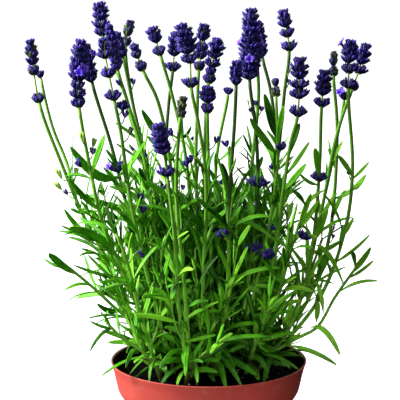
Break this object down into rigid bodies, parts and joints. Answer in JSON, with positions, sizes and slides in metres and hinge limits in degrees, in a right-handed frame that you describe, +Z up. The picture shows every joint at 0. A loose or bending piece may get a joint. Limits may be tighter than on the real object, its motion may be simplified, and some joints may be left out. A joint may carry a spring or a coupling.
{
  "type": "potted lavender",
  "caption": "Lavender plant in flower, leafy stems with violet flower spikes, growing in soil in a round tapered plastic pot.",
  "frame": {"origin": "centre of the pot's underside", "axes": "+Z up, -Y towards the side that the picture shows, +X to the right in the picture"},
  "size_m": [0.2444, 0.2244, 0.364],
  "materials": {
    "pot": "moulded terracotta-coloured plastic with a soft satin sheen",
    "soil": "dark moist peat with a few pale grains",
    "leaf": "fresh narrow leaves and square stems, bright green, finely downy",
    "flower": "downy deep violet calyxes with a few open bright violet corollas"
  },
  "bodies": {
    "root": {"flower_head_A": "flower", "flower_head_A2": "flower", "flower_head_B": "flower", "flower_head_B2": "flower", "flower_head_D": "flower", "flower_head_D2": "flower", "flower_head_D3": "flower", "flower_head_E": "flower", "flower_head_F": "flower", "flower_head_G": "flower", "flower_head_H": "flower", "flower_head_I": "flower", "flower_head_J": "flower", "flower_head_L": "flower", "flower_head_M": "flower", "flower_head_N": "flower", "flower_head_O1": "flower", "flower_head_O2": "flower", "flower_head_O3": "flower", "flower_head_O4": "flower", "flower_head_O5": "flower", "flower_head_P": "flower", "flower_head_Q": "flower", "flower_head_R": "flower", "flower_head_T": "flower", "flower_head_T2": "flower", "flower_head_U": "flower", "flower_head_V": "flower", "leafy_stem_A": "leaf", "leafy_stem_B": "leaf", "leafy_stem_B2": "leaf", "leafy_stem_D": "leaf", "leafy_stem_D2": "leaf", "leafy_stem_D3": "leaf", "leafy_stem_E": "leaf", "leafy_stem_F": "leaf", "leafy_stem_G": "leaf", "leafy_stem_H": "leaf", "leafy_stem_I": "leaf", "leafy_stem_J": "leaf", "leafy_stem_K": "leaf", "leafy_stem_L": "leaf", "leafy_stem_M": "leaf", "leafy_stem_N": "leaf", "leafy_stem_O1": "leaf", "leafy_stem_O2": "leaf", "leafy_stem_O3": "leaf", "leafy_stem_O4": "leaf", "leafy_stem_O5": "leaf", "leafy_stem_P": "leaf", "leafy_stem_Q": "leaf", "leafy_stem_R": "leaf", "leafy_stem_S": "leaf", "leafy_stem_T": "leaf", "leafy_stem_U": "leaf", "leafy_stem_V": "leaf", "leafy_stem_bright_left": "leaf", "leafy_stem_mid_left": "leaf", "pot": "pot", "soil": "soil"}
  },
  "joints": []
}
